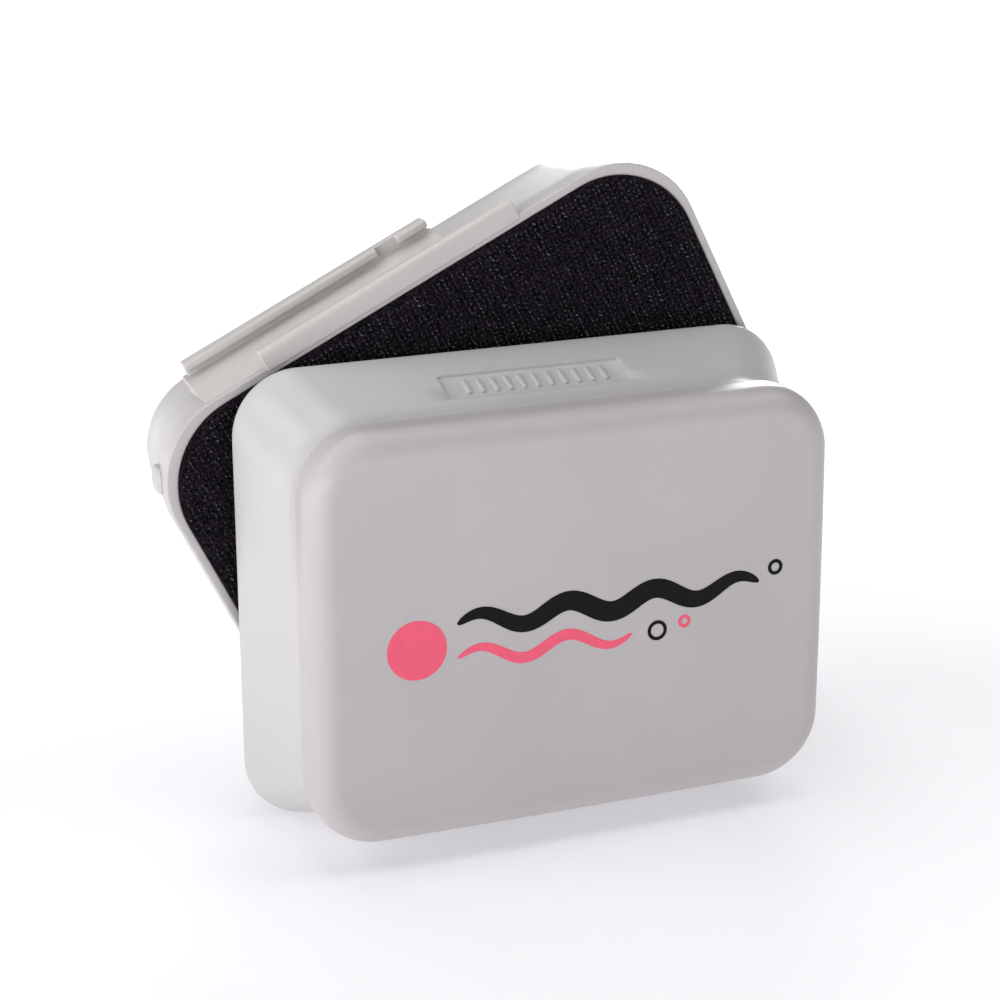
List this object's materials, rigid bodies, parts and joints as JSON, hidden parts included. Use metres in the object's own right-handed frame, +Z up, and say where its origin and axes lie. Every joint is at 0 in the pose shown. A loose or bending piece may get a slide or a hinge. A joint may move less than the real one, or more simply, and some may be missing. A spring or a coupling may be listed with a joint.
{
  "type": "magnetic glass cleaner",
  "caption": "Two-half magnetic cleaner for aquarium glass: a dry handle with a felt pad and a floating half with a hook pad, pad to pad, with an empty blade holder on the float.",
  "frame": {"origin": "middle of the object's base, where the handle's lower long edge and the float's lowest corner stand", "axes": "+Z up, +Y through both halves from the handle's outer face to the float's back, +X along the handle's long side"},
  "size_m": [0.1554, 0.0782, 0.1409],
  "materials": {
    "handle_plastic": "satin",
    "float_plastic": "satin",
    "holder_plastic": "satin",
    "inner_plastic": "matte",
    "felt": "matte",
    "hook_tape": "matte",
    "adhesive": "satin",
    "ferrite": "matte",
    "yoke_steel": "satin",
    "screw_steel": "satin"
  },
  "bodies": {
    "handle": {"handle_base_plate": "inner_plastic", "handle_felt_adhesive": "adhesive", "handle_felt_pad": "felt", "handle_front_cap": "handle_plastic", "handle_magnet_lower_left": "ferrite", "handle_magnet_lower_right": "ferrite", "handle_magnet_upper_left": "ferrite", "handle_magnet_upper_right": "ferrite", "handle_waist_shell": "handle_plastic", "handle_yoke_plate": "yoke_steel", "handle_yoke_screws": "screw_steel"},
    "centre_screw": {"float_centre_screw": "screw_steel"},
    "float": {"float_blade_holder": "holder_plastic", "float_face_plate": "inner_plastic", "float_hook_adhesive": "adhesive", "float_hook_pad": "hook_tape", "float_magnet_lower_left": "ferrite", "float_magnet_lower_right": "ferrite", "float_magnet_upper_left": "ferrite", "float_magnet_upper_right": "ferrite", "float_tub": "float_plastic", "float_yoke_plate": "yoke_steel", "float_yoke_screws": "screw_steel"}
  },
  "joints": [
    {"name": "pull_off", "type": "slide", "parent": "handle", "child": "centre_screw", "axis": [0, 1, 0], "range_m": [0, 0.06]},
    {"name": "turn", "type": "hinge", "parent": "centre_screw", "child": "float", "pos_m": [0.00042, 0.02, 0.07045], "axis": [0, 1, 0], "continuous": true}
  ]
}
